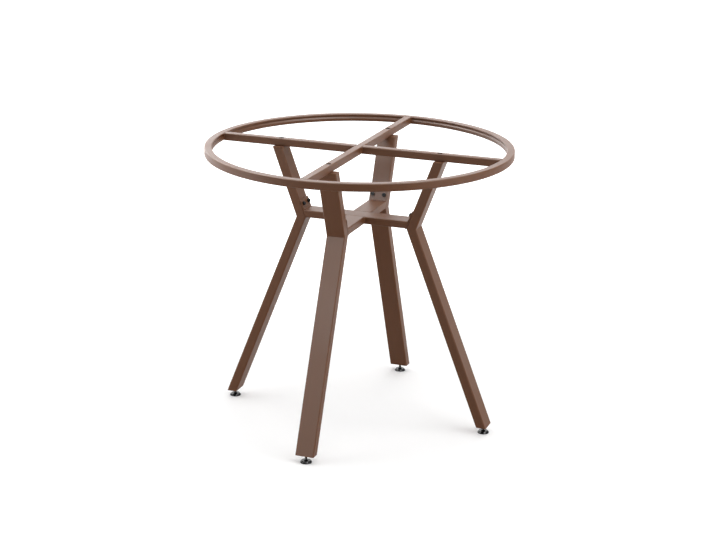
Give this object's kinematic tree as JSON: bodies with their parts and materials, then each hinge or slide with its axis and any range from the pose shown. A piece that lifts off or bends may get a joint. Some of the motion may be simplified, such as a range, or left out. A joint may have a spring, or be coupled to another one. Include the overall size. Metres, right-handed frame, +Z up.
{
  "type": "table frame",
  "caption": "Round table frame of brown coated steel tube: a ring with crossed bars on splayed, bent legs that a flat cross ties at the knees, on screw-in levelling feet.",
  "frame": {"origin": "on the floor, at the middle of the ring", "axes": "+Z up along the ring's axis, +Y along the long cross bar from the front leg to the back leg, +X to the right leg"},
  "size_m": [0.8, 0.8, 0.742],
  "materials": {
    "frame_coat": "satin brown powder coat",
    "bolt_black": "black oxide",
    "zinc_plate": "zinc plated, out of sight",
    "foot_plastic": "glossy black moulding",
    "stud_steel": "blackened thread"
  },
  "bodies": {
    "frame": {"top_ring": "frame_coat", "cross_bar_long": "frame_coat", "cross_bar_right": "frame_coat", "cross_bar_left": "frame_coat", "hub_bar": "frame_coat", "hub_arm_front": "frame_coat", "hub_arm_back": "frame_coat", "leg_upper_right": "frame_coat", "leg_lower_right": "frame_coat", "leg_cap_right": "frame_coat", "foot_plate_right": "frame_coat", "flange_plate_right": "frame_coat", "leg_upper_back": "frame_coat", "leg_lower_back": "frame_coat", "leg_cap_back": "frame_coat", "foot_plate_back": "frame_coat", "flange_plate_back": "frame_coat", "leg_upper_left": "frame_coat", "leg_lower_left": "frame_coat", "leg_cap_left": "frame_coat", "foot_plate_left": "frame_coat", "flange_plate_left": "frame_coat", "leg_upper_front": "frame_coat", "leg_lower_front": "frame_coat", "leg_cap_front": "frame_coat", "foot_plate_front": "frame_coat", "flange_plate_front": "frame_coat", "flange_bolts": "bolt_black", "top_bolts": "bolt_black", "thread_inserts": "zinc_plate", "cap_nuts": "zinc_plate", "foot_nuts": "zinc_plate"},
    "right_foot": {"foot_pad_right": "foot_plastic", "foot_stud_right": "stud_steel"},
    "back_foot": {"foot_pad_back": "foot_plastic", "foot_stud_back": "stud_steel"},
    "left_foot": {"foot_pad_left": "foot_plastic", "foot_stud_left": "stud_steel"},
    "front_foot": {"foot_pad_front": "foot_plastic", "foot_stud_front": "stud_steel"}
  },
  "joints": [
    {"name": "right_foot_level", "type": "slide", "parent": "frame", "child": "right_foot", "axis": [0, 0, -1], "range_m": [-0.008, 0.006]},
    {"name": "back_foot_level", "type": "slide", "parent": "frame", "child": "back_foot", "axis": [0, 0, -1], "range_m": [-0.008, 0.006]},
    {"name": "left_foot_level", "type": "slide", "parent": "frame", "child": "left_foot", "axis": [0, 0, -1], "range_m": [-0.008, 0.006]},
    {"name": "front_foot_level", "type": "slide", "parent": "frame", "child": "front_foot", "axis": [0, 0, -1], "range_m": [-0.008, 0.006]}
  ]
}
